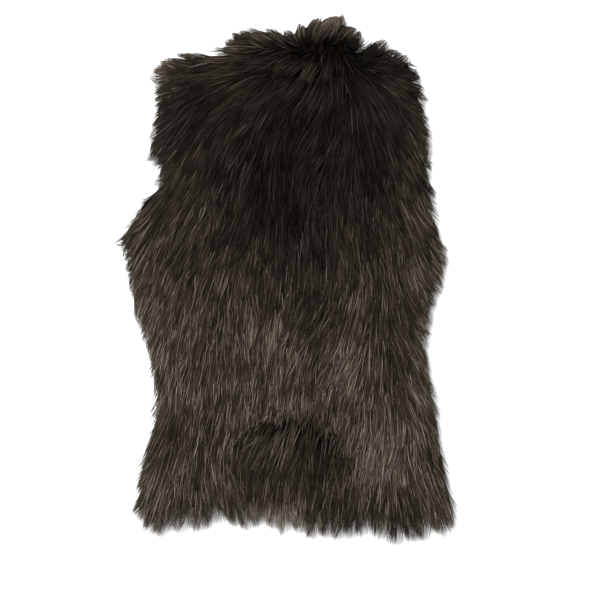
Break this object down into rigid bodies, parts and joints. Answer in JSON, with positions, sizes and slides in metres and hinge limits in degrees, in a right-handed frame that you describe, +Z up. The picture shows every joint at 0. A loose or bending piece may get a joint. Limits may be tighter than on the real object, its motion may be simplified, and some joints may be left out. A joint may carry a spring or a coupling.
{
  "type": "faux fur vest",
  "caption": "Sleeveless long-pile faux fur vest in dark brown, laid flat with its back up: fitted waist, flared ragged hem and a band collar.",
  "frame": {"origin": "middle of the vest's box, on the surface that it lies on", "axes": "+Y from hem to neck, +Z up out of the back, +X to the right as the back is looked at"},
  "size_m": [0.435, 0.6778, 0.043],
  "materials": {
    "back_fur": "long soft dark brown acrylic pile with a low silky gloss, darker at the roots",
    "front_fur": "the same long pile, pressed flat beneath the vest",
    "collar_fur": "near black long pile that lies sideways along the band"
  },
  "bodies": {
    "root": {"back_panel": "back_fur", "front_left": "front_fur", "front_right": "front_fur", "collar": "collar_fur"}
  },
  "joints": []
}
